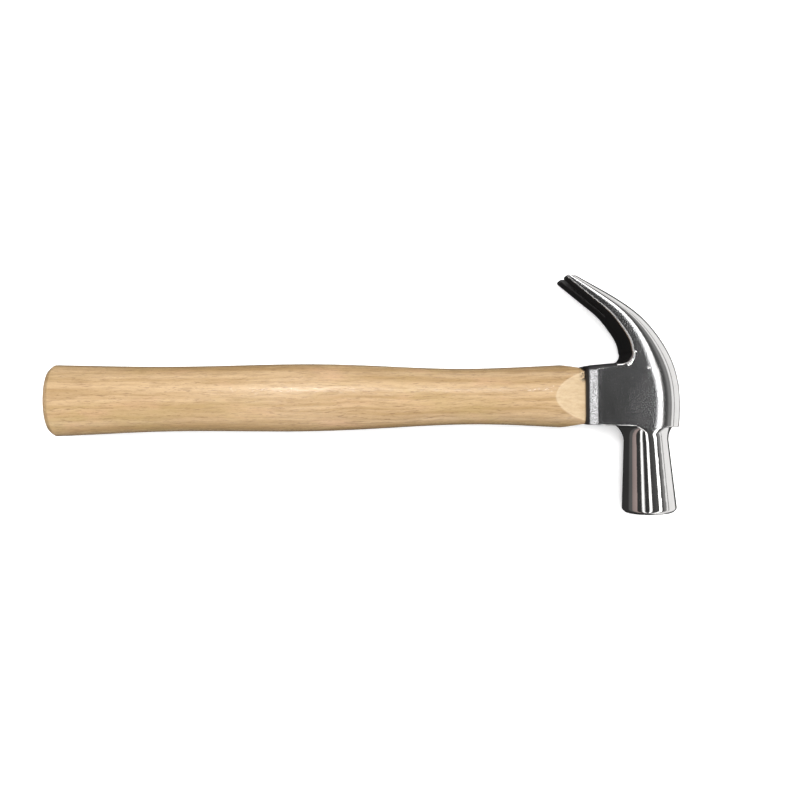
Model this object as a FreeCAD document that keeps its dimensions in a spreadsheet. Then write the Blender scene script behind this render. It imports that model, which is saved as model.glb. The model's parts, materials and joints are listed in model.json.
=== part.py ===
"""Claw hammer with a wooden handle: steel head, ash handle, one wooden and two steel wedges.

The hammer is drawn lying on its side. While it is drawn, X runs along the handle from the butt
to the back of the head, Y runs from the striking face to the claw, and Z = 0 is the plane that
halves the hammer. At the end every piece is moved so that the origin is the bottom centre of
the whole hammer's box. Lengths are in millimetres and angles in degrees.
"""
import FreeCAD, Part
import math
import os

V = FreeCAD.Vector

# name, value, what it is
DIMENSIONS = [
    ("overall_length", 320.0, "butt to the back of the head"),
    ("socket_length", 48.8, "rear face of the head to its back"),
    ("half_body", 12.0, "half of the thickness of cheeks and claw"),
    ("rear_top", 15.2, "handle axis to the socket's claw side, at the rear face"),
    ("rear_under", 14.3, "handle axis to the socket's face side, at the rear face"),
    ("top_slope", 4.6, "rise of the socket's claw side"),
    ("top_edge", 2.4, "rounding between the socket's claw side and the cheeks"),
    ("under_slope", 2.1, "fall of the socket's face side"),
    ("roll_length", 6.3, "where the cheeks begin to roll off towards the rear face"),
    ("roll_radius", 7.0, "radius of that roll"),
    ("roll_slope", 13.0, "slope of the cheeks after the roll"),
    ("roll_edge", 1.5, "rounding of the rear face's edges beside the cheeks"),
    ("claw_corner", 5.0, "inside radius between socket and claw"),
    ("crown_share", 0.78, "part of the claw's thickness that the crowned back takes"),
    ("crown_depth", 15.5, "depth of the crowned back beside the cheeks"),
    ("crown_lean", 5.2, "inward lean of the crown's sides, in degrees"),
    ("crown_power", 3.0, "exponent of the crown's superellipse: 2 is an ellipse, more is flatter"),
    ("tip_height", 60.2, "handle axis to the claw's tips"),
    ("tip_reach", 58.3, "back of the head to the claw's tips"),
    ("slot_length", 30.0, "length of the nail slot from the tips"),
    ("slot_mouth", 6.8, "width of the nail slot at the tips"),
    ("slot_root", 1.8, "width of the nail slot at its end"),
    ("slot_bevel", 1.2, "how much wider the slot is on the inside of the claw"),
    ("slot_above", 8.0, "how far the slot's cutter starts outside the claw's back"),
    ("slot_below", 12.0, "how far the slot's cutter ends inside the claw"),
    ("claw_lean", 35.0, "lean of the claw's tips from the handle axis"),
    ("poll_setback", 16.1, "back of the head to the poll's axis, at the neck"),
    ("neck_level", 22.9, "handle axis to the top of the poll's cone"),
    ("poll_tilt", 2.2, "lean of the poll's axis"),
    ("poll_length", 36.4, "top of the cone to the striking face"),
    ("neck_radius", 10.9, "poll where it leaves the neck"),
    ("face_radius", 13.4, "poll at its rim"),
    ("face_chamfer", 1.6, "chamfer round the striking face"),
    ("flare_radius", 10.9, "hollow curve from the neck into the body"),
    ("flare_sweep", 60.0, "how much of a turn that curve makes before it is inside the body"),
    ("flare_inset", 0.15, "how far the flare stays inside the cheeks and the back"),
    ("mouth_height", 23.0, "eye at the rear face"),
    ("mouth_width", 17.0, "eye at the rear face"),
    ("mouth_depth", 12.0, "how deep the tenon takes the mouth's shape"),
    ("waist_height", 20.4, "eye at its narrowest"),
    ("waist_width", 11.2, "eye at its narrowest"),
    ("waist_depth", 33.0, "rear face to the eye's waist"),
    ("exit_height", 21.4, "eye at the back of the head"),
    ("exit_width", 11.8, "eye at the back of the head"),
    ("eye_corner", 2.6, "corner radius of the eye"),
    ("shoulder_height", 27.8, "wood where it meets the head's rear face"),
    ("shoulder_top", 12.9, "handle axis to the small flat on top, at the head"),
    ("top_pare_slope", 28.0, "slope of that small flat, in degrees"),
    ("facet_slope", 13.8, "slope of the two flats cut on the handle's broad sides"),
    ("pare_slope", 10.5, "slope of the two flats cut on the handle's narrow sides"),
    ("butt_chamfer", 2.6, "how much the butt's chamfer takes off each side"),
    ("kerf_width", 0.8, "saw kerf in the tenon"),
    ("kerf_depth", 34.0, "saw kerf in the tenon, from the back of the head"),
    ("wedge_depth", 27.0, "how far the wooden wedge is driven in"),
    ("wedge_thickness", 3.0, "wooden wedge at the back of the head"),
    ("steel_depth", 17.0, "how far the steel wedges are driven in"),
    ("steel_thickness", 1.8, "steel wedges at the back of the head"),
    ("steel_tip", 0.4, "steel wedges at their thin end"),
    ("steel_width", 9.0, "steel wedges across the tenon"),
    ("steel_spread", 5.6, "each steel wedge from the handle axis"),
]

# The oval grip: name, distance from the butt, height, thickness, rise of its middle.
GRIP_STATIONS = [
    ("butt", 3.3, 36.6, 23.8, 0.0),
    ("heel", 25.0, 34.9, 23.0, 0.1),
    ("hollow", 55.0, 33.2, 22.4, 0.3),
    ("palm_rear", 95.0, 33.6, 22.8, 0.4),
    ("palm", 132.0, 34.3, 23.2, 0.4),
    ("palm_front", 165.0, 32.2, 22.4, 0.35),
    ("waist", 209.0, 28.5, 20.6, 0.25),
    ("throat", 240.0, 29.8, 22.6, 0.2),
    ("swell", 262.0, 32.0, 25.2, 0.0),
    ("shoulder", 271.2, 32.9, 26.0, 0.0),
]
STATION_ROWS = ("place", "height", "thickness", "rise")

# The claw and the back of the head: a point on the inner side and the one opposite on the back.
CLAW_STATIONS = [
    ((258.9, 61.2), (262.4, 63.3)),
    ((267.0, 54.5), (270.9, 58.7)),
    ((275.2, 47.7), (280.0, 53.8)),
    ((282.6, 41.3), (290.0, 47.9)),
    ((288.5, 33.8), (299.5, 40.9)),
    ((292.5, 26.6), (308.9, 30.4)),
    ((293.7, 18.5), (316.3, 17.3)),
    ((293.7, 1.6), (319.9, 1.2)),
]
LAST_BACK_INSET = 0.5      # the back leans in this much at the underside

SLACK = 1.0                # how far a cutting tool reaches past what it cuts
OVERLAP = 6.0              # how far joined lumps of the head run into each other
REGION = 60.0              # side of the boxes that only part space, wider than the hammer
CROWN_STEPS = 6            # points on each half of the crowned back
LEAN_START = 3             # length over which the crown's lean begins
BOX_TOLERANCE = 0.03       # how closely the hammer's box is measured
ALONG_X = FreeCAD.Rotation(V(1, 1, 1), 120)      # turns local x, y, z to Y, Z, X


def make_sheet(doc):
    """Puts every driving dimension in a spreadsheet cell with an alias."""
    rows = list(DIMENSIONS)
    for name, *values in GRIP_STATIONS:
        for kind, value in zip(STATION_ROWS, values):
            rows.append((f"{name}_section_{kind}", value, "oval section of the grip"))
    sheet = doc.addObject("Spreadsheet::Sheet", "Dimensions")
    for row, (name, value, meaning) in enumerate(rows, start=1):
        sheet.set(f"A{row}", name)
        sheet.set(f"B{row}", str(value))
        sheet.setAlias(f"B{row}", name)
        sheet.set(f"C{row}", meaning)
    doc.recompute()
    return sheet


def bind(item, place=None, **formulas):
    """Binds the item's properties, and its place, to formulas of the sheet's aliases."""
    for name, formula in formulas.items():
        item.setExpression(name, formula)
    for axis, formula in zip("xyz", place or ()):
        item.setExpression(f"Placement.Base.{axis}", formula)


def feature(doc, name, shape):
    """A document object that holds a shape made by Part's functions."""
    item = doc.addObject("Part::Feature", name)
    item.Shape = shape
    return item


def fuse(doc, name, pieces):
    item = doc.addObject("Part::MultiFuse", name)
    item.Shapes = pieces
    item.Refine = True
    return item


def cut(doc, name, base, tool):
    item = doc.addObject("Part::Cut", name)
    item.Base, item.Tool = base, tool
    item.Refine = True
    return item


def common(doc, name, base, tool):
    item = doc.addObject("Part::Common", name)
    item.Base, item.Tool = base, tool
    item.Refine = True
    return item


def loft(doc, name, sections, ruled):
    item = doc.addObject("Part::Loft", name)
    item.Sections = sections
    item.Solid = True
    item.Ruled = ruled
    return item


def closed_face(edges):
    return Part.Face(Part.Wire(Part.__sortEdges__(edges)))


def lines_through(points):
    return [Part.makeLine(a, b) for a, b in zip(points, points[1:])]


def crowned_section(sheet, inner, outer, half, crown):
    """A closed D: a straight inner side, two cheeks and a back that is a leaning superellipse."""
    inner, outer = V(*inner, 0), V(*outer, 0)
    power, lean = sheet.crown_power, math.tan(math.radians(sheet.crown_lean))
    outward = (outer - inner).normalize()
    up = V(0, 0, 1)
    centre = outer - outward * crown
    points = []
    for step in range(-CROWN_STEPS, CROWN_STEPS + 1):
        angle = math.radians(90 * step / CROWN_STEPS)
        depth = abs(math.cos(angle)) ** (2 / power)
        side = math.copysign(abs(math.sin(angle)) ** (2 / power), step)
        if abs(step) == CROWN_STEPS:
            depth = 0
        into = depth * crown
        leaning = into ** 2 / (2 * LEAN_START) if into < LEAN_START else into - LEAN_START / 2
        points.append(centre + outward * into + up * side * (half - lean * leaning))
    back = Part.BSplineCurve()
    back.interpolate(Points=points, InitialTangent=outward, FinalTangent=-outward)
    corners = [points[-1], inner + up * half, inner - up * half, points[0]]
    return Part.Wire(Part.__sortEdges__([back.toShape()] + lines_through(corners)))


def rounded_rectangle(height, width, corner):
    """An outline in the YZ plane about the X axis."""
    y, z = height / 2 - corner, width / 2 - corner
    middle = corner * math.sqrt(0.5)
    edges = []
    for turn in range(4):
        run, rise = (y, z) if turn % 2 == 0 else (z, y)
        flat = Part.makeLine(V(-run, -rise - corner, 0), V(run, -rise - corner, 0))
        bend = Part.Arc(V(run, -rise - corner, 0), V(run + middle, -rise - middle, 0),
                        V(run + corner, -rise, 0))
        for edge in (flat, bend.toShape()):
            edge.rotate(V(0, 0, 0), V(0, 0, 1), 90 * turn)
            edges.append(edge)
    wire = Part.Wire(edges)
    wire.Placement = FreeCAD.Placement(V(0, 0, 0), ALONG_X)
    return wire


def rectangle_across(x, y, z, shift=0):
    """A closed rectangle square to the X axis, from its half height and half width."""
    points = [V(x, shift - y, -z), V(x, shift + y, -z), V(x, shift + y, z), V(x, shift - y, z)]
    return Part.makePolygon(points + points[:1])


def build_eye(doc, sheet):
    """The space of the eye: it narrows from the rear mouth to a waist and widens to the back."""
    rear = sheet.overall_length - sheet.socket_length
    places = [
        (rear, sheet.mouth_height, sheet.mouth_width),
        (rear + sheet.waist_depth, sheet.waist_height, sheet.waist_width),
        (sheet.overall_length + SLACK, sheet.exit_height, sheet.exit_width),
    ]
    sections = []
    for number, (x, height, width) in enumerate(places):
        outline = rounded_rectangle(height, width, sheet.eye_corner)
        outline.translate(V(x, 0, 0))
        sections.append(feature(doc, f"eye_outline_{number}", outline))
    return loft(doc, "eye_space", sections, ruled=True)


def under_level(sheet, x):
    """Y of the head's underside."""
    rear = sheet.overall_length - sheet.socket_length
    return -sheet.rear_under - (x - rear) * math.tan(math.radians(sheet.under_slope))


def build_claw(doc, sheet):
    """The claw and the crowned back, from the tips to the underside."""
    back = sheet.overall_length
    inner_x = CLAW_STATIONS[-1][0][0]
    last = ((inner_x, under_level(sheet, inner_x)),
            (back - LAST_BACK_INSET, under_level(sheet, back)))
    sections = []
    for number, (inner, outer) in enumerate(CLAW_STATIONS + [last]):
        crown = min(sheet.crown_share * math.dist(inner, outer), sheet.crown_depth)
        outline = crowned_section(sheet, inner, outer, sheet.half_body, crown)
        sections.append(feature(doc, f"claw_outline_{number}", outline))
    return loft(doc, "claw_and_back", sections, ruled=False)


def socket_profile(sheet):
    """The socket seen from its side, with the inside corner below the claw."""
    rear = sheet.overall_length - sheet.socket_length
    rise = math.tan(math.radians(sheet.top_slope))
    inner_x = CLAW_STATIONS[-1][0][0]
    inside = inner_x + OVERLAP
    top, under, corner = sheet.rear_top, sheet.rear_under, sheet.claw_corner
    meeting = V(inner_x, top + (inner_x - rear) * rise, 0)
    reach = corner * math.tan(math.radians((90 - sheet.top_slope) / 2))
    start = meeting + V(-1, -rise, 0).normalize() * reach
    end = meeting + V(0, reach, 0)
    centre = end - V(corner, 0, 0)
    middle = centre + (meeting - centre).normalize() * corner
    edges = lines_through([V(rear, -under, 0), V(inside, under_level(sheet, inside), 0),
                           V(inside, end.y, 0), end])
    edges.append(Part.Arc(end, middle, start).toShape())
    edges += lines_through([start, V(rear, top, 0), V(rear, -under, 0)])
    return closed_face(edges)


def socket_plan(sheet):
    """The socket seen along Y: the cheeks roll off a little towards the rear face."""
    rear = sheet.overall_length - sheet.socket_length
    half, edge, radius = sheet.half_body, sheet.roll_edge, sheet.roll_radius
    inside = CLAW_STATIONS[-1][0][0] + OVERLAP
    slope = math.radians(sheet.roll_slope)

    def on_roll(turn):
        """A point of the roll, after this part of its turn."""
        return V(rear + sheet.roll_length - radius * math.sin(turn), 0,
                 half - radius * (1 - math.cos(turn)))

    first, middle, last = on_roll(0), on_roll(slope / 2), on_roll(slope)
    corner = V(rear, 0, last.z - (last.x - rear) * math.tan(slope))
    reach = edge * math.tan(math.radians(90 - sheet.roll_slope) / 2)
    before = corner + V(math.cos(slope), 0, math.sin(slope)) * reach
    after = corner - V(0, 0, reach)
    centre = after + V(edge, 0, 0)
    peak = centre + (corner - centre).normalize() * edge
    edges = lines_through([V(inside, 0, half), first]) + lines_through([last, before])
    edges += [Part.Arc(first, middle, last).toShape(), Part.Arc(before, peak, after).toShape()]
    mirrored = [item.mirror(V(0, 0, 0), V(0, 0, 1)) for item in edges]
    ends = lines_through([after, V(rear, 0, -after.z)])
    ends += lines_through([V(inside, 0, half), V(inside, 0, -half)])
    return closed_face(edges + mirrored + ends)


def top_edges(sheet, block):
    """The two straight edges between the socket's claw side and its cheeks."""
    found = []
    for edge in block.Edges:
        run = edge.Vertexes[-1].Point - edge.Vertexes[0].Point
        middle = edge.CenterOfMass
        above = middle.y > sheet.rear_top and middle.x < CLAW_STATIONS[-1][0][0]
        if above and abs(run.y) < abs(run.x) and abs(middle.z) > sheet.half_body / 2:
            found.append(edge)
    return found


def build_socket(doc, sheet):
    """The socket that takes the handle: its profile and its plan, run through each other."""
    half = sheet.half_body
    profile = socket_profile(sheet).extrude(V(0, 0, 2 * half)).translated(V(0, 0, -half))
    profile = profile.makeFillet(sheet.top_edge, top_edges(sheet, profile))
    plan = socket_plan(sheet).extrude(V(0, REGION, 0)).translated(V(0, -REGION / 2, 0))
    sides = feature(doc, "socket_sides", profile)
    return common(doc, "socket", sides, feature(doc, "socket_plan", plan))


def build_poll(doc, sheet):
    """The turned poll and the hollow flare above it, which is no wider than the body."""
    back = sheet.overall_length
    top = V(back - sheet.poll_setback, -sheet.neck_level, 0)
    tilt = math.radians(sheet.poll_tilt)
    down = V(math.sin(tilt), -math.cos(tilt), 0)
    out = V(math.cos(tilt), math.sin(tilt), 0)

    def place(radius, depth):
        return top + out * radius + down * depth

    def on_flare(turn):
        angle = math.radians(turn)
        return place(sheet.neck_radius + sheet.flare_radius * (1 - math.cos(angle)),
                     -sheet.flare_radius * math.sin(angle))

    neck, rim = sheet.neck_radius, sheet.face_radius
    length, chamfer = sheet.poll_length, sheet.face_chamfer
    sweep = sheet.flare_sweep
    height = sheet.flare_radius * math.sin(math.radians(sweep))
    bend = Part.Arc(place(neck, 0), on_flare(sweep / 2), on_flare(sweep)).toShape()
    edges = [bend] + lines_through([on_flare(sweep), place(0, -height), place(0, 0), place(neck, 0)])
    flare = feature(doc, "flare_turned", closed_face(edges).revolve(top, down, 360))
    level = under_level(sheet, back) + OVERLAP
    inset = sheet.flare_inset
    plan = crowned_section(sheet, (back - sheet.socket_length + OVERLAP, level),
                           (back - LAST_BACK_INSET - inset, level), sheet.half_body - inset,
                           sheet.crown_depth)
    limit = feature(doc, "flare_limit", Part.Face(plan).extrude(V(0, -REGION / 2, 0)))

    corners = [place(0, 0), place(neck, 0), place(rim, length - chamfer),
               place(rim - chamfer, length), place(0, length), place(0, 0)]
    turned = closed_face(lines_through(corners)).revolve(top, down, 360)
    return [common(doc, "flare", flare, limit), feature(doc, "poll", turned)]


def build_head_blank(doc, sheet):
    """The forging before the eye and the nail slot are cut, with its tips ground level."""
    pieces = [build_claw(doc, sheet), build_socket(doc, sheet)] + build_poll(doc, sheet)
    whole = fuse(doc, "head_whole", pieces)
    above = doc.addObject("Part::Box", "above_tips")
    beyond = doc.addObject("Part::Box", "beyond_tips")
    side = f"{REGION} mm"
    low = f"-{REGION / 2} mm"
    tip = "(Dimensions.overall_length - Dimensions.tip_reach) * 1 mm"
    bind(above, Length=side, Width=side, Height=side,
         place=(f"{tip} - {REGION / 2} mm", "Dimensions.tip_height * 1 mm", low))
    bind(beyond, Length=side, Width=side, Height=side,
         place=(f"{tip} - {REGION} mm", f"(Dimensions.tip_height - {REGION / 3}) * 1 mm", low))
    level = cut(doc, "head_levelled", whole, above)
    return cut(doc, "head_blank", level, beyond)


def build_slot(doc, sheet):
    """The nail slot: a long V between the tines, wider on the inside of the claw."""
    lean = math.radians(sheet.claw_lean)
    along = V(math.cos(lean), -math.sin(lean), 0)
    inward = V(-math.sin(lean), -math.cos(lean), 0)
    tips = V(sheet.overall_length - sheet.tip_reach, sheet.tip_height, 0)
    taper = (sheet.slot_mouth - sheet.slot_root) / sheet.slot_length
    sections = []
    for number, (depth, extra) in enumerate(((-sheet.slot_above, 0), (sheet.slot_below, sheet.slot_bevel))):
        base = tips + inward * depth
        mouth = V(0, 0, (sheet.slot_mouth + taper * OVERLAP + extra) / 2)
        root = V(0, 0, (sheet.slot_root + extra) / 2)
        start, end = base - along * OVERLAP, base + along * sheet.slot_length
        outline = Part.makePolygon([start + mouth, end + root, end - root, start - mouth, start + mouth])
        sections.append(feature(doc, f"slot_outline_{number}", outline))
    return loft(doc, "slot_space", sections, ruled=True)


def oval_section(doc, name, station, inset="0", place=None):
    """An ellipse across the X axis, bound to a named section of the grip."""
    oval = doc.addObject("Part::Ellipse", name)
    oval.Placement = FreeCAD.Placement(V(0, 0, 0), ALONG_X)
    row = f"Dimensions.{station}_section_"
    bind(oval, MajorRadius=f"({row}height / 2 - {inset}) * 1 mm",
         MinorRadius=f"({row}thickness / 2 - {inset}) * 1 mm",
         place=(place or f"{row}place * 1 mm", f"{row}rise * 1 mm"))
    return oval


def build_grip(doc, sheet):
    """The oval handle up to the head, with its butt chamfer and the flats cut at the head."""
    names = [station[0] for station in GRIP_STATIONS]
    ovals = [oval_section(doc, f"{name}_oval", name) for name in names]
    shaft = loft(doc, "grip_shaft", ovals, ruled=False)
    ends = [oval_section(doc, "butt_end", names[0], "Dimensions.butt_chamfer", "0 mm"),
            oval_section(doc, "butt_start", names[0])]
    grip = fuse(doc, "grip_round", [shaft, loft(doc, "grip_butt", ends, ruled=True)])

    rear = sheet.overall_length - sheet.socket_length
    outlines, tops = [], []
    for number, x in enumerate((rear, -SLACK)):
        half_y = sheet.shoulder_height / 2 + (rear - x) * math.tan(math.radians(sheet.pare_slope))
        half_z = sheet.mouth_width / 2 + (rear - x) * math.tan(math.radians(sheet.facet_slope))
        top = sheet.shoulder_top + (rear - x) * math.tan(math.radians(sheet.top_pare_slope))
        below = rectangle_across(x, (top + REGION) / 2, REGION, (top - REGION) / 2)
        outlines.append(feature(doc, f"flats_outline_{number}", rectangle_across(x, half_y, half_z)))
        tops.append(feature(doc, f"top_outline_{number}", below))
    pared = common(doc, "grip_pared", grip, loft(doc, "flats", outlines, ruled=True))
    return common(doc, "grip", pared, loft(doc, "below_top_flat", tops, ruled=True))


def wedge_space(doc, sheet, name, depth, ends, wide, shift=0, across=False):
    """A space that tapers from the back of the head down to its thin end."""
    thick, thin = ends
    back = sheet.overall_length
    grow = (thick - thin) / depth * SLACK
    outlines = []
    for number, (x, size) in enumerate(((back - depth, thin), (back + SLACK, thick + grow))):
        y, z = (size / 2, wide / 2) if across else (wide / 2, size / 2)
        outlines.append(feature(doc, f"{name}_outline_{number}", rectangle_across(x, y, z, shift)))
    return loft(doc, name, outlines, ruled=True)


def build_wedge_spaces(doc, sheet):
    """The tapered spaces of the wooden wedge, the saw kerf and the two steel wedges."""
    tall = sheet.exit_height + 4 * SLACK
    wood = wedge_space(doc, sheet, "wood_wedge_space", sheet.wedge_depth,
                       (sheet.wedge_thickness, sheet.kerf_width), tall)
    steel = [wedge_space(doc, sheet, f"steel_wedge_space_{number}", sheet.steel_depth,
                         (sheet.steel_thickness, sheet.steel_tip), sheet.steel_width,
                         side * sheet.steel_spread, across=True)
             for number, side in enumerate((-1, 1))]
    kerf = doc.addObject("Part::Box", "kerf")
    bind(kerf, Length=f"(Dimensions.kerf_depth + {SLACK}) * 1 mm", Width=f"{tall} mm",
         Height="Dimensions.kerf_width * 1 mm",
         place=("(Dimensions.overall_length - Dimensions.kerf_depth) * 1 mm", f"{-tall / 2} mm",
                "-Dimensions.kerf_width / 2 * 1 mm"))
    return wood, steel, kerf


def build_tenon(doc, eye, blank):
    """The wood that fills the eye and follows the crowned back, where it was ground flush."""
    mouth_box = doc.addObject("Part::Box", "mouth_region")
    bind(mouth_box, Length="Dimensions.mouth_depth * 1 mm", Width=f"{REGION} mm", Height=f"{REGION} mm",
         place=("(Dimensions.overall_length - Dimensions.socket_length) * 1 mm",
                f"-{REGION / 2} mm", f"-{REGION / 2} mm"))
    return common(doc, "tenon_mouth", eye, mouth_box), common(doc, "tenon_rest", eye, blank)


def check(doc):
    """Stops on any object that failed to build."""
    doc.recompute()
    for item in doc.Objects:
        if "Invalid" in item.State or "Error" in item.State:
            raise RuntimeError(f"{item.Name} failed: {item.State}")


def export(doc, pieces):
    """Moves every piece into the shared frame, checks it and writes it."""
    whole = FreeCAD.BoundBox()
    for item in pieces.values():
        points, _ = item.Shape.tessellate(BOX_TOLERANCE)
        for point in points:
            whole.add(point)
    shift = V(-whole.Center.x, -whole.Center.y, -whole.ZMin)
    for name, item in pieces.items():
        item.Label = name
        item.Placement = FreeCAD.Placement(shift, FreeCAD.Rotation())
    check(doc)
    os.makedirs("parts", exist_ok=True)
    for name, item in pieces.items():
        shape = item.Shape
        if shape.isNull() or not shape.isValid():
            raise RuntimeError(f"{name} has no valid shape")
        print(name, len(shape.Solids), "solids", round(shape.Volume), "mm3")
        shape.exportStep(f"parts/{name}.step")
    print("whole", whole, "shift", shift)


def main():
    doc = FreeCAD.newDocument("claw_hammer")
    sheet = make_sheet(doc)
    eye = build_eye(doc, sheet)
    blank = build_head_blank(doc, sheet)
    slot = build_slot(doc, sheet)
    grip = build_grip(doc, sheet)
    wood_space, steel_spaces, kerf = build_wedge_spaces(doc, sheet)
    check(doc)

    head = cut(doc, "head", blank, fuse(doc, "head_openings", [eye, slot]))
    tenon_mouth, tenon_rest = build_tenon(doc, eye, blank)
    whole_wood = fuse(doc, "handle_whole", [grip, tenon_mouth, tenon_rest])
    tenon_cuts = fuse(doc, "tenon_cuts", [wood_space, kerf] + steel_spaces)
    handle = cut(doc, "handle", whole_wood, tenon_cuts)
    steel_space = fuse(doc, "steel_wedge_spaces", steel_spaces)
    wedge_in_eye = common(doc, "wood_wedge_in_eye", wood_space, tenon_rest)
    wood_wedge = cut(doc, "wood_wedge", wedge_in_eye, steel_space)
    steel_wedges = common(doc, "steel_wedges", steel_space, tenon_rest)
    check(doc)
    export(doc, {"head": head, "handle": handle, "wood_wedge": wood_wedge, "steel_wedges": steel_wedges})


main()
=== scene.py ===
"""Looks of a claw hammer that lies on its side: a refined head and handle around the CAD frame."""
import json
import math

import bpy
import numpy as np
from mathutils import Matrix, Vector
from mathutils.kdtree import KDTree

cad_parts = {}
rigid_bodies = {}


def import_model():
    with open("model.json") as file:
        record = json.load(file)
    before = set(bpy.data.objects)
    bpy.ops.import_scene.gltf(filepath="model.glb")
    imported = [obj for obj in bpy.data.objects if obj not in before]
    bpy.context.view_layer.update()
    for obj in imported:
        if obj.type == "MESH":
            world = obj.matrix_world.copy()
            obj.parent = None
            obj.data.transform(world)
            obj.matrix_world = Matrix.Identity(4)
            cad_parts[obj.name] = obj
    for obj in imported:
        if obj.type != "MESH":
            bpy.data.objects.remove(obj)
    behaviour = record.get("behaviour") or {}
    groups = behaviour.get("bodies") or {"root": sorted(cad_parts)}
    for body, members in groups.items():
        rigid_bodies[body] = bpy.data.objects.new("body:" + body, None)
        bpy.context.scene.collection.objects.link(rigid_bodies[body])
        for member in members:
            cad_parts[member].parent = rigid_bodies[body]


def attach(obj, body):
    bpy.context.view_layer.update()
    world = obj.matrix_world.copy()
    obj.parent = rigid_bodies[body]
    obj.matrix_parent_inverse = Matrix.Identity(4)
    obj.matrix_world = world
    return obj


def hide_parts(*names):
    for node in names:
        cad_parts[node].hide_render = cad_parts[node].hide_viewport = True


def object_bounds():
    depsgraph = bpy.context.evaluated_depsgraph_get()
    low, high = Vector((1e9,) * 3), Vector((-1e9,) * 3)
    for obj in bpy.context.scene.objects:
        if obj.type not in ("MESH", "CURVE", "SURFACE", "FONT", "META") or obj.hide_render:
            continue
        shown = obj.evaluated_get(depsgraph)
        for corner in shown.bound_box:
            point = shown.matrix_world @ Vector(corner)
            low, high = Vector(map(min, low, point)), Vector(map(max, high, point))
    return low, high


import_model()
cad_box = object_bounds()

MM = 0.001
LOW, HIGH = (np.array(corner, dtype=float) for corner in cad_box)

# The shapes below are drawn in millimetres: x from the butt, y from the handle's axis towards
# the claw, z from the plane that halves the hammer. ORIGIN is that drawing's origin in metres.
TIP_HEIGHT = 60.2
ORIGIN = np.array([LOW[0], HIGH[1] - TIP_HEIGHT * MM, (LOW[2] + HIGH[2]) / 2])
BACK = (HIGH[0] - LOW[0]) / MM
REAR = BACK - 48.8
TIP_X = BACK - 58.3

# The body: half its thickness, then the heights of its top and underside at the rear face and
# their slopes in degrees. Below THROAT it is the socket, above it the claw.
HALF = 12.0
REAR_TOP, REAR_UNDER = 15.2, 14.3
TOP_SLOPE, UNDER_SLOPE = 4.6, 2.1
TOP_RISE, UNDER_FALL = math.tan(math.radians(TOP_SLOPE)), math.tan(math.radians(UNDER_SLOPE))
THROAT = 20.0

# The cheeks roll off towards the rear face over ROLL_LENGTH, after a gentle start of ROLL_TURN. The
# roll goes on past that face as far as ROLL_REACH, so that the rounded edge can be worked out.
ROLL_LENGTH, ROLL_TURN, ROLL_FALL = 6.3, 1.6, math.tan(math.radians(13.0))
ROLL_REACH = 9.0

# The radii of the rounded edges. The one along the claw's inner side grows with x, and turns
# into the socket's between two heights.
REAR_EDGE, SOCKET_EDGE, UNDER_EDGE = 1.5, 2.4, 0.6
CLAW_EDGES = [(TIP_X, 0.35), (285.0, 0.8), (293.0, 1.2)]
CLAW_EDGE_HEIGHT, SOCKET_EDGE_HEIGHT = 22.0, 17.0
POLL_EDGE, FACE_EDGE, FLARE_EDGE = 0.5, 0.4, 0.5
TIP_EDGE, OPENING_EDGE, PIT_EDGE = 0.25, 0.3, 0.15

# The claw's two sides from its tip downwards. UNSEEN carries the inner one on inside the body,
# for the width between them, which sets how deep the crown of the back is.
INNER = [(258.9, 61.2), (267.0, 54.5), (275.2, 47.7), (282.6, 41.3), (288.5, 33.8), (292.5, 26.6),
         (293.7, 18.5)]
UNSEEN = [(293.7, 1.6), (293.7, -15.1)]
OUTER = [(262.4, 63.3), (270.9, 58.7), (280.0, 53.8), (290.0, 47.9), (299.5, 40.9), (308.9, 30.4),
         (316.3, 17.3), (319.9, 1.2), (319.5, -16.1)]
CLAW_CORNER = 5.0
SOCKET_REACH = 30.0
CROWN_SHARE, CROWN_LEAST, CROWN_DEPTH, CROWN_POWER = 0.78, 1.0, 15.5, 3.0
CROWN_LEAN, LEAN_TURN = math.tan(math.radians(5.2)), 3.0

# The poll: its axis leans by POLL_TILT, and it is ground in narrow uneven flats.
POLL_TOP = np.array([BACK - 16.1, -22.9])
POLL_TILT = math.radians(2.2)
POLL_DOWN = np.array([math.sin(POLL_TILT), -math.cos(POLL_TILT)])
POLL_OUT = np.array([math.cos(POLL_TILT), math.sin(POLL_TILT)])
POLL_LENGTH, POLL_ROOT = 36.4, 8.0
NECK_RADIUS, FACE_RADIUS, FACE_CHAMFER = 10.9, 13.4, 1.6
POLL_TAPER = (FACE_RADIUS - NECK_RADIUS) / (POLL_LENGTH - FACE_CHAMFER)
FLATS, FLATNESS, FLATS_INSET = 23, 0.12, 0.2
FLATS_SWAY = [(0.10, 3, 1.0), (0.05, 8, 2.0)]
FLARE_RADIUS, FLARE_HEIGHT, FLARE_INSET = 10.9, 9.4, 0.65

# The nail slot runs down from the tips, and through the claw between SLOT_OUTSIDE and SLOT_INSIDE.
# SLOT_SPREAD is how much wider it is on the inner side.
SLOT_LEAN, SLOT_LENGTH = math.radians(35.0), 30.0
SLOT_MOUTH, SLOT_END, SLOT_SPREAD = 6.8, 1.8, 1.2
SLOT_OUTSIDE, SLOT_INSIDE = -8.0, 12.0

# The eye along the handle, as place, height and thickness, and a small pit in the upper cheek.
EYE = [(REAR, 23.0, 17.0), (REAR + 33.0, 20.4, 11.2), (BACK + 1.0, 21.4, 11.8)]
EYE_CORNER = 2.6
PIT, PIT_RADIUS = (301.6, 14.0, 12.35), 0.6

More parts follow.
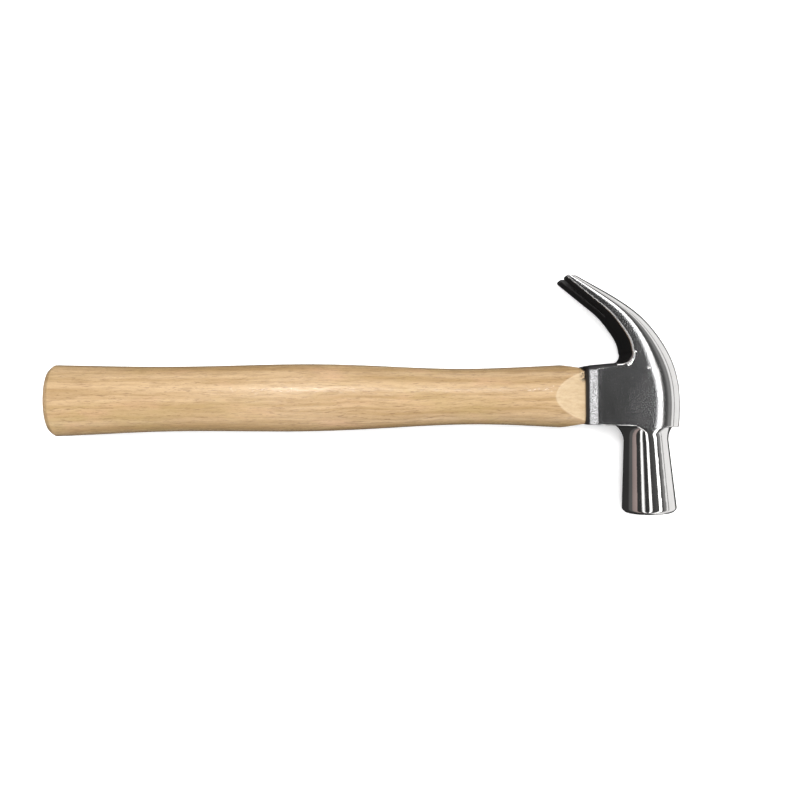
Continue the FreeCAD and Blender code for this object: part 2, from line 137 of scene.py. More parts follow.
# The grip along the handle, as place, height, thickness and the rise of its middle.
GRIP = [(0.0, 36.6, 23.8, 0.0), (25.0, 34.9, 23.0, 0.1), (55.0, 33.2, 22.4, 0.3), (95.0, 33.6, 22.8, 0.4),
        (132.0, 34.3, 23.2, 0.4), (165.0, 32.2, 22.4, 0.35), (209.0, 28.5, 20.6, 0.25),
        (240.0, 29.8, 22.6, 0.2), (262.0, 32.0, 25.2, 0.0), (271.2, 32.9, 26.0, 0.0)]
BUTT_CHAMFER, BUTT_LENGTH, BUTT_CURVE = 2.6, 3.3, 1.25

# Flats that were pared on the wood beside the head: half the wood's thickness or height at the
# rear face, and the slope from there.
BROAD_HALF, BROAD_SLOPE = 8.5, math.radians(13.8)
NARROW_HALF, NARROW_SLOPE = 13.9, math.radians(10.5)
SHOULDER_HALF, SHOULDER_SLOPE = 12.9, math.radians(28.0)
PARED_EDGE, BUTT_EDGE, SHOULDER_EDGE = 0.25, 0.6, 0.15

# The tenon: how far it stands off the eye, ends below the head's back and runs back into the grip.
TENON_GAP, TENON_BELOW, TENON_ROOT = 0.03, 0.5, 6.0

# Where the fields are worked out: the table's corners and step, and the boxes round the pieces.
# FAR_INSIDE is the distance of a face that doesn't count at a place.
TABLE = (TIP_X - 4, -75), (BACK + 4, TIP_HEIGHT + 6), 0.25
HEAD_BOX = (TIP_X - 2, -62, -15), (BACK + 2, TIP_HEIGHT + 2, 15)
HANDLE_BOX = (-2, -20, -15), (BACK + 2, 20, 15)
FAR_INSIDE = -50.0


# ---------------------------------------------------------------- shapes as distance fields

def spline(places, values, at):
    """A smooth curve through the values, as a natural cubic."""
    x, y = np.asarray(places, float), np.asarray(values, float)
    n, step = len(x), np.diff(x)
    matrix, right = np.eye(n), np.zeros(n)
    for i in range(1, n - 1):
        matrix[i, i - 1:i + 2] = step[i - 1], 2 * (step[i - 1] + step[i]), step[i]
        right[i] = 6 * ((y[i + 1] - y[i]) / step[i] - (y[i] - y[i - 1]) / step[i - 1])
    bend = np.linalg.solve(matrix, right)
    i = np.clip(np.searchsorted(x, at) - 1, 0, n - 2)
    after, before, gap = x[i + 1] - at, at - x[i], step[i]
    return (bend[i] * after ** 3 + bend[i + 1] * before ** 3) / (6 * gap) \
        + (y[i] / gap - bend[i] * gap / 6) * after \
        + (y[i + 1] / gap - bend[i + 1] * gap / 6) * before


def curve_through(points, spacing=0.1):
    """Close points on a smooth curve, where they are along it, and where the given points are."""
    points = np.asarray(points, float)
    run = np.concatenate([[0], np.cumsum(np.hypot(*np.diff(points, axis=0).T))])
    at = np.linspace(0, run[-1], int(run[-1] / spacing))
    return np.stack([spline(run, points[:, 0], at), spline(run, points[:, 1], at)], 1), at, run


def round_max(a, b, r):
    """The space inside both surfaces, with the edge where they meet rounded to radius r."""
    a, b = a + r, b + r
    return np.minimum(np.maximum(a, b), 0) + np.hypot(np.maximum(a, 0), np.maximum(b, 0)) - r


def share(value, none, full):
    """From 0 where the value is at none or beyond it, to 1 where it is at full or beyond it."""
    return np.clip((value - none) / (full - none), 0, 1)


def bent(run, turn):
    """A run that starts gently: its slope grows from 0 to 1 over the first turn."""
    return np.where(run < turn, run ** 2 / (2 * turn), run - turn / 2)


class Table:
    """Fields over x and y, kept on a fine grid and read between its points."""

    def __init__(self, low, high, step, make):
        self.low, self.step = np.array(low, float), step
        self.nx, self.ny = (int((high[k] - low[k]) / step) + 2 for k in (0, 1))
        x = low[0] + step * np.arange(self.nx)
        y = low[1] + step * np.arange(self.ny)
        grid = np.stack(np.meshgrid(x, y, indexing="ij"), -1).reshape(-1, 2)
        self.values = [v.reshape(self.nx, self.ny) for v in make(grid)]

    def __call__(self, x, y):
        u = np.clip((x - self.low[0]) / self.step, 0, self.nx - 1.001)
        v = np.clip((y - self.low[1]) / self.step, 0, self.ny - 1.001)
        i, j = u.astype(int), v.astype(int)
        u, v = u - i, v - j
        return [t[i, j] * (1 - u) * (1 - v) + t[i + 1, j] * u * (1 - v) + t[i, j + 1] * (1 - u) * v
                + t[i + 1, j + 1] * u * v for t in self.values]


def signed_distance(line, points):
    """Distance of the points from a line of close vertices, positive on its left side, and the
    nearest vertex of each."""
    tree = KDTree(len(line))
    for i, vertex in enumerate(line):
        tree.insert((vertex[0], vertex[1], 0), i)
    tree.balance()
    nearest = np.array([tree.find((point[0], point[1], 0))[1] for point in points])
    tangent = np.gradient(line, axis=0)
    tangent /= np.hypot(*tangent.T)[:, None]
    normal = np.stack([-tangent[:, 1], tangent[:, 0]], 1)
    return np.einsum("ij,ij->i", points - line[nearest], normal[nearest]), nearest


def inner_line(arc_points=60, line_points=300):
    """The claw's inner side, the inside corner and the socket's claw side, as one line."""
    claw, _, _ = curve_through(INNER)
    inner_x = INNER[-1][0]
    meeting = np.array([inner_x, REAR_TOP + (inner_x - REAR) * TOP_RISE])
    reach = CLAW_CORNER * math.tan(math.radians((90 - TOP_SLOPE) / 2))
    along = -np.array([1, TOP_RISE]) / math.hypot(1, TOP_RISE)
    end, start = meeting + [0, reach], meeting + along * reach
    centre = end - [CLAW_CORNER, 0]
    turn = np.linspace(0, math.atan2(start[1] - centre[1], start[0] - centre[0]), arc_points)
    bend = centre + CLAW_CORNER * np.stack([np.cos(turn), np.sin(turn)], 1)
    run = np.linspace(0, SOCKET_REACH, line_points)[:, None]
    return np.vstack([claw[claw[:, 1] > end[1]], bend, start + along * run])


def claw_fields(points):
    """Depth under the crowned back, the back's crown there, and distance outside the inner line."""
    back, at, run = curve_through(OUTER)
    above, nearest = signed_distance(back, points)
    widths = [math.dist(inner, outer) for inner, outer in zip(INNER + UNSEEN, OUTER)]
    crown = np.clip(np.array(widths) * CROWN_SHARE, 0, CROWN_DEPTH)
    crown = np.clip(spline(run, crown, at), CROWN_LEAST, CROWN_DEPTH)[nearest]
    within, _ = signed_distance(inner_line(), points)
    return -above, crown, -within


claw_table = Table(*TABLE, claw_fields)


def slab(depth, crown, z, half):
    """Distance outside the flat cheeks and the crowned back between them."""
    left = np.maximum(crown - depth, 0)
    half = half - CROWN_LEAN * bent(left, LEAN_TURN)
    up, across = left / crown, np.abs(z) / half
    size = (up ** CROWN_POWER + across ** CROWN_POWER + 1e-12) ** (1 / CROWN_POWER)
    steep = np.hypot((up / size) ** (CROWN_POWER - 1) / crown, (across / size) ** (CROWN_POWER - 1) / half)
    return (size - 1) / (steep + 1e-9)


def eye(x, y, z):
    """Distance outside the space of the eye, not closed at its ends."""
    places, heights, widths = zip(*EYE)
    up = np.abs(y) - np.interp(x, places, heights) / 2
    across = np.abs(z) - np.interp(x, places, widths) / 2
    return round_max(up, across, EYE_CORNER)


def body_parts(x, y, z):
    """The body with its claw, and its rear, top and under faces, each as a distance."""
    depth, crown, top = claw_table(x, y)
    run = np.clip(REAR + ROLL_LENGTH - x, 0, ROLL_REACH) * (y < THROAT)
    sides = slab(depth, crown, z, HALF - ROLL_FALL * bent(run, ROLL_TURN))
    rear = np.where(y > THROAT, FAR_INSIDE, REAR - x)
    under = (-REAR_UNDER - (x - REAR) * UNDER_FALL - y) * math.cos(math.radians(UNDER_SLOPE))
    edge = np.interp(x, *zip(*CLAW_EDGES))
    edge += (SOCKET_EDGE - edge) * share(y, CLAW_EDGE_HEIGHT, SOCKET_EDGE_HEIGHT)
    body = round_max(round_max(sides, rear, REAR_EDGE), top, edge)
    return round_max(body, under, UNDER_EDGE), rear, top, under


def poll_place(x, y, z):
    """Distance along the poll's axis and from it, and the angle round it."""
    px, py = x - POLL_TOP[0], y - POLL_TOP[1]
    along = px * POLL_DOWN[0] + py * POLL_DOWN[1]
    out = px * POLL_OUT[0] + py * POLL_OUT[1]
    return along, np.hypot(out, z), np.arctan2(z, out)


def ground_flats(angle):
    """The poll's radius round its axis, as a share of a plain round one."""
    turn = angle + sum(size * np.sin(waves * angle + start) for size, waves, start in FLATS_SWAY)
    half = math.pi / FLATS
    flat = math.cos(half) / np.cos(np.mod(turn, 2 * half) - half)
    return 1 - FLATNESS * (1 - flat + FLATS_INSET * (1 - math.cos(half)))


def poll_field(x, y, z):
    """The round poll with its neck, and the hollow flare between the neck and the body."""
    along, radius, angle = poll_place(x, y, z)
    ground = radius / ground_flats(angle)
    side = (ground - NECK_RADIUS - POLL_TAPER * along) * math.cos(math.atan(POLL_TAPER))
    chamfer = (radius - FACE_RADIUS + along - POLL_LENGTH + FACE_CHAMFER) * math.sqrt(0.5)
    poll = round_max(round_max(side, chamfer, POLL_EDGE), along - POLL_LENGTH, FACE_EDGE)
    poll = np.maximum(poll, -along - POLL_ROOT)
    flare = FLARE_RADIUS - np.hypot(np.maximum(NECK_RADIUS + FLARE_RADIUS - ground, 0), along)
    flare = np.maximum(flare, radius - NECK_RADIUS - FLARE_RADIUS / 2)
    flare = np.maximum(flare, np.abs(along + FLARE_HEIGHT / 2) - FLARE_HEIGHT / 2)
    plan = slab(BACK - FLARE_INSET - x, np.full_like(x, CROWN_DEPTH), z, HALF)
    return np.minimum(poll, round_max(flare, plan, FLARE_EDGE))


def slot_field(x, y, z):
    """The nail slot, which narrows from its mouth at the tips."""
    sx, sy = x - TIP_X, y - TIP_HEIGHT
    along = sx * math.cos(SLOT_LEAN) - sy * math.sin(SLOT_LEAN)
    inward = -sx * math.sin(SLOT_LEAN) - sy * math.cos(SLOT_LEAN)
    width = SLOT_MOUTH + (SLOT_END - SLOT_MOUTH) * along / SLOT_LENGTH
    width += SLOT_SPREAD * (inward - SLOT_OUTSIDE) / (SLOT_INSIDE - SLOT_OUTSIDE)
    through = np.maximum(SLOT_OUTSIDE - inward, inward - SLOT_INSIDE)
    return np.maximum(np.maximum(np.abs(z) - width / 2, along - SLOT_LENGTH), through)


def head_field(x, y, z):
    """The whole head: body, flare and poll, cut off at the tips and opened by slot, eye and pit."""
    body, _, _, _ = body_parts(x, y, z)
    steel = np.minimum(body, poll_field(x, y, z))
    steel = round_max(steel, np.maximum(y - TIP_HEIGHT, TIP_X - x), TIP_EDGE)
    steel = round_max(steel, -slot_field(x, y, z), OPENING_EDGE)
    steel = round_max(steel, -eye(x, y, z), OPENING_EDGE)
    pit = np.sqrt((x - PIT[0]) ** 2 + (y - PIT[1]) ** 2 + (z - PIT[2]) ** 2) - PIT_RADIUS
    return round_max(steel, -pit, PIT_EDGE)


def grip_parts(x, y, z):
    """The oval grip, and the flats cut on its broad and narrow sides near the head."""
    places, heights, widths, rises = zip(*GRIP)
    at = np.clip(x, 0, REAR)
    less = BUTT_CHAMFER * share(x, BUTT_LENGTH, 0) ** BUTT_CURVE
    tall, thick = spline(places, heights, at) / 2 - less, spline(places, widths, at) / 2 - less
    up, across = (y - spline(places, rises, at)) / tall, z / thick
    size = np.sqrt(up * up + across * across) + 1e-9
    oval = (size - 1) * size / (np.sqrt((up / tall) ** 2 + (across / thick) ** 2) + 1e-9)

    def flat(distance, half, slope):
        return (distance - half - (REAR - x) * math.tan(slope)) * math.cos(slope)

    broad = flat(np.abs(z), BROAD_HALF, BROAD_SLOPE)
    narrow = flat(np.abs(y), NARROW_HALF, NARROW_SLOPE)
    return oval, broad, np.maximum(narrow, flat(y, SHOULDER_HALF, SHOULDER_SLOPE))


def grip_field(x, y, z):
    """The wood: the grip, and the tenon that fills the head's eye."""
    oval, broad, narrow = grip_parts(x, y, z)
    grip = round_max(round_max(oval, broad, PARED_EDGE), narrow, PARED_EDGE)
    grip = round_max(round_max(grip, -x, BUTT_EDGE), x - REAR, SHOULDER_EDGE)
    depth, crown, _ = claw_table(x, y)
    end = slab(depth - TENON_BELOW, crown, z, HALF)
    tenon = np.maximum(eye(x, y, z) + TENON_GAP, np.maximum(end, REAR - TENON_ROOT - x))
    return np.minimum(grip, tenon)


# ---------------------------------------------------------------- meshes from the fields

def gradient(field, points, reach=0.02):
    """The field and its unit direction of growth at the points."""
    x, y, z = points.T
    slope = np.stack([
        field(x + reach, y, z) - field(x - reach, y, z),
        field(x, y + reach, z) - field(x, y - reach, z),
        field(x, y, z + reach) - field(x, y, z - reach)], 1)
    slope /= np.linalg.norm(slope, axis=1)[:, None] + 1e-9
    return field(x, y, z), slope


def cell_points(grid, low, step):
    """One point in every grid cell that the surface crosses, and the number of each cell's point."""
    shape = tuple(count - 1 for count in grid.shape)
    total, hits = np.zeros(shape + (3,), np.float32), np.zeros(shape, np.int8)

    def corner(offset):
        return grid[tuple(slice(o, o + n) for o, n in zip(offset, shape))]

    for axis in range(3):
        for bits in range(4):
            start = [0, 0, 0]
            others = [k for k in range(3) if k != axis]
            start[others[0]], start[others[1]] = bits & 1, bits >> 1
            stop = list(start)
            stop[axis] = 1
            a, b = corner(start), corner(stop)
            cross = (a < 0) != (b < 0)
            part = np.where(cross, a / np.where(cross, a - b, 1), 0)
            for k in range(3):
                total[..., k] += cross * (part if k == axis else start[k])
            hits += cross
    active = hits > 0
    index = np.full(shape, -1, np.int64)
    index[active] = np.arange(active.sum())
    points = np.array(low) + step * (np.argwhere(active) + total[active] / hits[active][:, None])
    return points, index


def cell_quads(inside, index):
    """One quad round every grid edge that the surface crosses, facing outwards."""
    quads = []
    for axis in range(3):
        u, v = (axis + 1) % 3, (axis + 2) % 3
        a = inside[tuple(slice(1, -1) if k != axis else slice(0, -1) for k in range(3))]
        b = inside[tuple(slice(1, -1) if k != axis else slice(1, None) for k in range(3))]
        place = np.argwhere(a != b)
        enters = a[tuple(place.T)]
        place = place + [0 if k == axis else 1 for k in range(3)]
        ring = []
        for du, dv in ((-1, -1), (0, -1), (0, 0), (-1, 0)):
            cell = place.copy()
            cell[:, u] += du
            cell[:, v] += dv
            ring.append(index[tuple(cell.T)])
        ring = np.stack(ring, 1)
        quads.append(np.where(enters[:, None], ring, ring[:, ::-1]))
    return np.vstack(quads)


def surface(field, low, high, step, passes=3):
    """Points, quads and normals of the surface where the field is zero (surface nets), put exactly
    on it by a few passes along the slope."""
    counts = [int((high[k] - low[k]) / step) + 2 for k in range(3)]
    xs, ys, zs = (low[k] + step * np.arange(counts[k]) for k in range(3))
    grid = np.empty(counts, dtype=np.float32)
    flat_x, flat_y = (g.ravel() for g in np.meshgrid(xs, ys, indexing="ij"))
    for k, z in enumerate(zs):
        grid[:, :, k] = field(flat_x, flat_y, np.full_like(flat_x, z)).reshape(counts[:2])
    points, index = cell_points(grid, low, step)
    quads = cell_quads(grid < 0, index)
    for _ in range(passes):
        value, slope = gradient(field, points)
        points -= slope * np.clip(value, -step / 2, step / 2)[:, None]
    _, slope = gradient(field, points)
    return points, quads, slope


def make_piece(name, field, low, high, step, marks):
    """A mesh of the field between two corners, with its marks as attributes for the material."""
    points, quads, slope = surface(field, low, high, step)
    mesh = bpy.data.meshes.new(name)
    mesh.from_pydata((points * MM + ORIGIN).tolist(), [], quads.tolist())
    mesh.shade_smooth()
    for mark, values in marks(points, slope).items():
        mesh.attributes.new(mark, "FLOAT", "POINT").data.foreach_set("value", values.astype(np.float32))
    mesh.normals_split_custom_set_from_vertices(slope.tolist())
    piece = bpy.data.objects.new(name, mesh)
    bpy.context.scene.collection.objects.link(piece)
    return piece


# Where the head's finish changes. The black of the forge covers the points within ON_FACE of the
# rear, top and under faces and the slot. It runs over the socket's rounded edges, below BLACK_TOP:
# the rear one where the steel leans back, the top one up to BLACK_END and down to the flat cheek.
# The roll towards the rear face is as rough as it gets from ROLL_FULL on. Along the poll's axis the
# grinding is full above GRIND_FULL and gone below GRIND_END.
ON_FACE = 0.12
BLACK_TOP, BLACK_END, BLACK_RUN = 23.0, 286.0, 3.0
LEANS_BACK, CHEEK_EDGE = -0.35, 0.985
CHEEK_FROM, CHEEK_FULL = 0.988, 0.994
ROLL_FROM, ROLL_FULL = REAR + 8.0, REAR + 5.0
GRIND_END, GRIND_FULL = -2.5, -4.5
STRUCK_FROM, STRUCK_FULL, STRUCK_TOP = 0.9, 0.98, -55.0


def head_marks(points, slope):
    """Where the head is black from the forge, ground, rolled off at the socket, and struck."""
    x, y, z = points.T
    _, rear, top, under = body_parts(x, y, z)
    along, _, _ = poll_place(x, y, z)
    upright = np.abs(slope[:, 2])
    black = np.zeros(len(points), bool)
    for face in (rear, top, under, slot_field(x, y, z)):
        black |= np.abs(face) < ON_FACE
    black |= (y < BLACK_TOP) & (x < REAR + BLACK_RUN) & (slope[:, 0] < LEANS_BACK)
    black |= (y < BLACK_TOP) & (y > 0) & (x < BLACK_END) & (top > -SOCKET_EDGE) & (upright < CHEEK_EDGE)
    socket = share(x, ROLL_FROM, ROLL_FULL) * (y < THROAT)
    ground = np.maximum(share(upright, CHEEK_FROM, CHEEK_FULL), socket)
    struck = share(slope[:, :2] @ POLL_DOWN, STRUCK_FROM, STRUCK_FULL) * (y < STRUCK_TOP)
    return {"scale": black.astype(float), "satin": ground * share(along, GRIND_END, GRIND_FULL),
            "socket": socket, "struck": struck}


# Where the wood's finish changes: the slope at which end grain shows, how close to a flat the
# lacquer ends, and where shade is painted on the wood in the joint beside the claw's side of the
# socket, where the wood goes into the head.
END_FROM, END_FULL = 0.55, 0.85
BARE_FADE = 0.12
JOINT_SHADE_FROM, JOINT_SHADE_FULL = REAR - 3.5, REAR - 1.0
JOINT_SHADE_LOW, JOINT_SHADE_HIGH = 6.5, 8.5


def handle_marks(points, slope):
    """Where the wood is cut across its grain, where it is freshly pared, and painted shade by the head."""
    x, y, z = points.T
    oval, broad, narrow = grip_parts(x, y, z)
    pared = share(np.maximum(broad, narrow) - oval, -BARE_FADE, 0)
    # Painted shade: the wood darkens in the joint just before the head's rear face, on the claw's side.
    stain = share(x, JOINT_SHADE_FROM, JOINT_SHADE_FULL) * share(y, JOINT_SHADE_LOW, JOINT_SHADE_HIGH) * (x < REAR + 1)
    return {"end_grain": share(np.abs(slope[:, 0]), END_FROM, END_FULL), "pared": pared, "stain": stain}


step = 0.5
head = make_piece("head_shape", head_field, *HEAD_BOX, step, head_marks)
handle = make_piece("handle_shape", grip_field, *HANDLE_BOX, step, handle_marks)
for piece, node, slot in ((head, "head", "head_steel"), (handle, "handle", "handle_wood")):
    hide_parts(node)
    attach(piece, "root")


# ---------------------------------------------------------------- materials

# Pairs of colours, between which a noise chooses.
POLISHED = (0.60, 0.59, 0.58, 1), (0.72, 0.71, 0.70, 1)
GROUND = (0.27, 0.27, 0.275, 1), (0.52, 0.52, 0.525, 1)
STRUCK = (0.50, 0.50, 0.50, 1), (0.66, 0.65, 0.64, 1)
FORGED = (0.006, 0.006, 0.006, 1), (0.016, 0.015, 0.015, 1)
ASH = (0.468, 0.325, 0.18, 1), (0.345, 0.223, 0.102, 1)
PARED = (0.50, 0.385, 0.245, 1), (0.455, 0.335, 0.20, 1)
END_GRAIN = (0.56, 0.40, 0.25, 1), (0.38, 0.25, 0.14, 1)
WEDGE_WOOD = (0.45, 0.27, 0.13, 1), (0.62, 0.42, 0.24, 1)
WEDGE_STEEL = (0.22, 0.21, 0.20, 1), (0.34, 0.33, 0.32, 1)
# Single colours that are laid over the ash.
YELLOW, PINK = (0.37, 0.27, 0.105, 1), (0.49, 0.30, 0.18, 1)
# The last of these is painted shade for the joint where the wood goes into the head.
FIBRE, PORE, JOINT_SHADE = (0.25, 0.155, 0.07, 1), (0.18, 0.10, 0.05, 1), (0.025, 0.018, 0.012, 1)


class Nodes:
    """Short names for building a material's nodes. Noise scales are per metre."""

    def __init__(self, name):
        self.material = bpy.data.materials.new(name)
        self.material.use_nodes = True
        self.tree = self.material.node_tree
        self.shader = self.tree.nodes["Principled BSDF"]

    def add(self, kind, inputs=None, **settings):
        node = self.tree.nodes.new("ShaderNode" + kind)
        for key, value in settings.items():
            setattr(node, key, value)
        for key, value in (inputs or {}).items():
            self.put(node, key, value)
        return node

    def put(self, node, key, value):
        if isinstance(value, bpy.types.NodeSocket):
            self.tree.links.new(value, node.inputs[key])
        else:
            node.inputs[key].default_value = value

    def set(self, **inputs):
        for key, value in inputs.items():
            self.put(self.shader, key.replace("_", " "), value)

    def place(self):
        return self.add("TexCoord").outputs["Object"]

    def maths(self, operation, first, second):
        return self.add("Math", {0: first, 1: second}, operation=operation).outputs[0]

    def plus(self, first, second):
        return self.maths("ADD", first, second)

    def minus(self, first, second):
        return self.maths("SUBTRACT", first, second)

    def times(self, first, second):
        return self.maths("MULTIPLY", first, second)

    def between(self, part, first, second):
        """A number that goes from the first to the second."""
        return self.plus(self.times(self.minus(1.0, part), first), self.times(part, second))

    def fade(self, value, low, high, to_low=0.0, to_high=1.0):
        return self.add("MapRange", {0: value, 1: low, 2: high, 3: to_low, 4: to_high}).outputs[0]

    def mix(self, part, first, second):
        """A colour that goes from the first to the second."""
        return self.add("Mix", {0: part, 6: first, 7: second}, data_type="RGBA").outputs[2]

    def noise(self, place, scale, detail=3.0, rough=0.5):
        inputs = {"Vector": place, "Scale": scale, "Detail": detail, "Roughness": rough}
        return self.add("TexNoise", inputs).outputs["Fac"]

    def stretched(self, place, scale):
        return self.add("Mapping", {"Vector": place, "Scale": scale}).outputs[0]

    def mark(self, name):
        return self.add("Attribute", attribute_name=name).outputs["Fac"]

    def bump(self, height, distance, strength=1.0):
        return self.add("Bump", {"Height": height, "Distance": distance, "Strength": strength}).outputs[0]


def steel_material():
    """Polished steel with ground cheeks, a struck face and black scale."""
    n = Nodes("forged_steel")
    place = n.place()
    cloudy = n.noise(place, 90, 4, 0.6)
    fine = n.noise(place, 1500, 3, 0.6)
    grit = n.noise(place, 1300, 3, 0.6)
    ground, struck = n.mark("satin"), n.mark("struck")
    ragged = n.times(n.minus(fine, 0.5), 0.5)
    scale = n.fade(n.plus(n.mark("scale"), ragged), 0.45, 0.6)

    steel = n.mix(cloudy, *POLISHED)
    steel = n.mix(n.times(ground, 0.9), steel, n.mix(n.fade(grit, 0.36, 0.64), *GROUND))
    steel = n.mix(struck, steel, n.mix(fine, *STRUCK))
    n.set(Base_Color=n.mix(scale, steel, n.mix(cloudy, *FORGED)))
    n.set(Metallic=n.minus(n.minus(1.0, n.times(struck, 0.6)), scale))

    dull = n.plus(n.fade(cloudy, 0.35, 0.7, 0.09, 0.13), n.times(n.mark("socket"), 0.10))
    rough = n.between(ground, n.fade(cloudy, 0.3, 0.7, 0.05, 0.09), dull)
    rough = n.plus(rough, n.times(struck, 0.22))
    n.set(Roughness=n.between(scale, rough, n.fade(cloudy, 0.3, 0.7, 0.38, 0.55)))

    uneven = n.plus(n.times(ground, 0.9), 0.1)
    n.set(Normal=n.bump(n.times(grit, uneven), 0.00005))
    return n.material


def wood_material():
    """Lacquered ash: wavy rings, fibres and pores, bare flats, end grain and speckled lacquer."""
    n = Nodes("lacquered_ash")
    place = n.place()
    drift = n.noise(n.stretched(place, (1, 2, 2)), 28)
    shift = n.add("CombineXYZ", {1: n.times(drift, 0.004), 2: n.times(drift, 0.003)}).outputs[0]
    wavy = n.add("VectorMath", {0: place, 1: shift}, operation="ADD").outputs[0]
    rings = n.noise(n.stretched(wavy, (0.25, 9, 9)), 34, 4, 0.6)
    fibre = n.noise(n.stretched(wavy, (1, 11, 11)), 95, 4, 0.65)
    pores = n.noise(n.stretched(wavy, (1, 9, 9)), 210, 3, 0.6)
    along = n.stretched(place, (1, 3, 3))
    pared = n.mark("pared")

    colour = n.mix(n.fade(rings, 0.38, 0.62), *ASH)
    colour = n.mix(n.fade(n.noise(along, 15), 0.50, 0.66, 0.0, 0.55), colour, YELLOW)
    colour = n.mix(n.fade(n.noise(along, 31, 2), 0.56, 0.70, 0.0, 0.50), colour, PINK)
    colour = n.mix(n.fade(fibre, 0.50, 0.68, 0.0, 0.60), colour, FIBRE)
    colour = n.mix(n.times(n.fade(pores, 0.57, 0.66), 0.6), colour, PORE)
    colour = n.mix(n.times(pared, 0.75), colour, n.mix(n.fade(fibre, 0.42, 0.66), *PARED))
    across = n.mix(n.noise(place, 900, 3, 0.6), *END_GRAIN)
    colour = n.mix(n.times(n.mark("end_grain"), 0.7), colour, across)
    # Painted shade: a speckled near-black band laid over the wood in the joint by the head.
    spots = n.fade(n.noise(place, 700, 3, 0.7), 0.44, 0.50)
    n.set(Base_Color=n.mix(n.times(n.mark("stain"), spots), colour, JOINT_SHADE))

    varnish = n.noise(n.stretched(place, (1, 1.8, 1.8)), 800, 3, 0.7)
    n.set(Coat_Weight=n.fade(varnish, 0.45, 0.56, 0.05, 1.0), Coat_Roughness=0.05)
    n.set(Roughness=n.plus(n.fade(fibre, 0.35, 0.7, 0.28, 0.42), n.times(pared, 0.2)))
    height = n.plus(n.times(fibre, 0.6), n.times(pores, 0.5))
    n.set(Normal=n.bump(height, 0.0002, 0.7), Coat_Normal=n.bump(varnish, 0.00006))
    return n.material


def wedge_material(name, colours, metallic, roughness):
    """A plain grained material for the ends of the wedges."""
    n = Nodes(name)
    grain = n.noise(n.stretched(n.place(), (1, 6, 6)), 300, 4, 0.6)
    n.set(Base_Color=n.mix(grain, *colours), Metallic=metallic, Roughness=roughness)
    n.set(Normal=n.bump(grain, 0.0001, 0.4))
    return n.material


head.data.materials.append(steel_material())
handle.data.materials.append(wood_material())
wedges = {"wood_wedge": wedge_material("wedge_wood", WEDGE_WOOD, 0.0, 0.6),
          "steel_wedges": wedge_material("wedge_steel", WEDGE_STEEL, 1.0, 0.45)}
for item in bpy.context.scene.objects:
    material = wedges.get(item.name.split(".")[0])
    if material and item.type == "MESH":
        for slot in item.material_slots:
            slot.material = material


# ---------------------------------------------------------------- floor, light and camera

FLOOR_RADIUS, FLOOR_GAP = 20.0, 0.0002
FLOOR_COLOUR, FLOOR_GLOW = (0.9, 0.9, 0.9, 1), 0.25
OVERHEAD_PLACE, OVERHEAD_SIZE, OVERHEAD_POWER = (0, 0.22, 1.6), (1.3, 0.8), 27
# The lamps that glint in the lacquer: name, x, width and power. They share the rest.
GLINTS = [("glint_left", -0.235, 0.26, 2.6), ("glint_middle", -0.02, 0.18, 0.7),
          ("glint_right", 0.31, 0.20, 2.0)]
GLINT_Y, GLINT_HEIGHT, GLINT_DEPTH = 0.58, 1.6, 0.05
BACKDROP = (0.95, 0.95, 0.95, 1)
CAMERA_PLACE, CAMERA_TURN = (0.01844, -0.00126, 0.3854), math.radians(-0.5055)
SENSOR_WIDTH, LENS = 36.0, 32.76

# What the studio shows in the polished steel: directions in degrees from straight up, to the right
# where positive, each with its brightness and, where it isn't white, its tint. The brightness
# changes evenly from each to the next.
WARM = (1.0, 0.80, 0.76)
BANDS = [(-180, 0.03), (-166, 0.04), (-114, 0.05), (-110, 0.12), (-94, 0.14), (-90, 0.36, WARM),
         (-71, 0.50, WARM), (-67, 0.05), (-50, 0.05), (-46, 1.8), (-37, 1.8), (-33, 0.05), (-15, 0.05),
         (-12.5, 2.7), (-7, 2.7), (-4.5, 0.06), (12, 0.10), (24, 0.10), (27, 3.8), (35, 3.8),
         (38, 0.10), (44, 0.10), (50, 0.32), (58, 0.32), (61, 1.2), (68, 1.2), (70, 0.3), (72, 0.3),
         (74, 1.2), (118, 1.2), (124, 0.10), (180, 0.03)]


def area_light(name, place, aim, size, power):
    """A rectangular lamp that faces a point and that the camera doesn't see."""
    data = bpy.data.lights.new(name, "AREA")
    data.shape, data.size, data.size_y = "RECTANGLE", size[0], size[1]
    data.energy = power
    light = bpy.data.objects.new(name, data)
    light.location = place
    light.rotation_euler = (Vector(aim) - Vector(place)).to_track_quat("-Z", "Y").to_euler()
    light.visible_camera = False
    bpy.context.scene.collection.objects.link(light)
    return light


def make_floor():
    """A wide pale disc that takes faint shadows and doesn't show in the steel."""
    bpy.ops.mesh.primitive_circle_add(vertices=96, radius=FLOOR_RADIUS, fill_type="NGON",
                                      location=(0, 0, cad_box[0][2] - FLOOR_GAP))
    disc = bpy.context.object
    disc.name = "floor"
    disc.visible_glossy = False
    disc.visible_diffuse = False
    paper = Nodes("white_paper")
    paper.set(Base_Color=FLOOR_COLOUR, Roughness=0.9)
    paper.set(Emission_Color=(1, 1, 1, 1), Emission_Strength=FLOOR_GLOW)
    disc.data.materials.append(paper.material)
    return disc


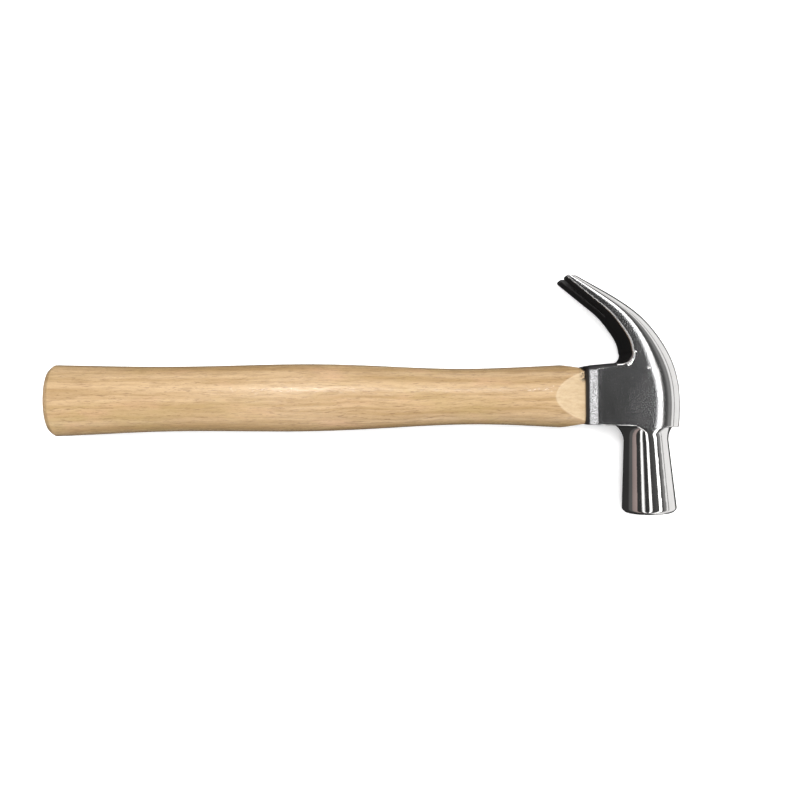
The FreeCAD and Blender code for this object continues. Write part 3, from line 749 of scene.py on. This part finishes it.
def fill_world(tree):
    """The studio's bands for everything but the camera, which sees a plain backdrop."""

    def add(kind, **settings):
        node = tree.nodes.new("ShaderNode" + kind)
        for key, value in settings.items():
            setattr(node, key, value)
        return node

    split = add("SeparateXYZ")
    tree.links.new(add("TexCoord").outputs["Generated"], split.inputs[0])
    tilt = add("Math", operation="ARCTAN2")
    tree.links.new(split.outputs[0], tilt.inputs[0])
    tree.links.new(split.outputs[2], tilt.inputs[1])
    turn = add("MapRange")
    turn.inputs[1].default_value, turn.inputs[2].default_value = -math.pi, math.pi
    tree.links.new(tilt.outputs[0], turn.inputs[0])
    ramp = add("ValToRGB")
    stops = ramp.color_ramp.elements
    while len(stops) < len(BANDS):
        stops.new(0.5)
    for stop, (angle, brightness, *tint) in zip(stops, BANDS):
        stop.position = angle / 360 + 0.5
        stop.color = tuple(brightness * part for part in (tint[0] if tint else (1, 1, 1))) + (1,)
    tree.links.new(turn.outputs[0], ramp.inputs[0])
    backdrop = add("Mix", data_type="RGBA")
    tree.links.new(add("LightPath").outputs["Is Camera Ray"], backdrop.inputs[0])
    tree.links.new(ramp.outputs[0], backdrop.inputs[6])
    backdrop.inputs[7].default_value = BACKDROP
    tree.links.new(backdrop.outputs[2], tree.nodes["Background"].inputs["Color"])
    tree.nodes["Background"].inputs["Strength"].default_value = 1.0


floor = make_floor()

overhead = area_light("overhead_box", OVERHEAD_PLACE, (0, 0, 0), OVERHEAD_SIZE, OVERHEAD_POWER)
overhead.visible_glossy = False
for name, x, width, power in GLINTS:
    area_light(name, (x, GLINT_Y, GLINT_HEIGHT), (x, 0, 0), (width, GLINT_DEPTH), power)

scene = bpy.context.scene
scene.world = scene.world or bpy.data.worlds.new("studio")
scene.world.use_nodes = True
fill_world(scene.world.node_tree)
scene.view_settings.view_transform = "Standard"

lens = bpy.data.cameras.new("camera")
lens.sensor_width, lens.lens = SENSOR_WIDTH, LENS
camera = bpy.data.objects.new("camera", lens)
camera.location = CAMERA_PLACE
camera.rotation_euler = (0, 0, CAMERA_TURN)
scene.collection.objects.link(camera)
scene.camera = camera
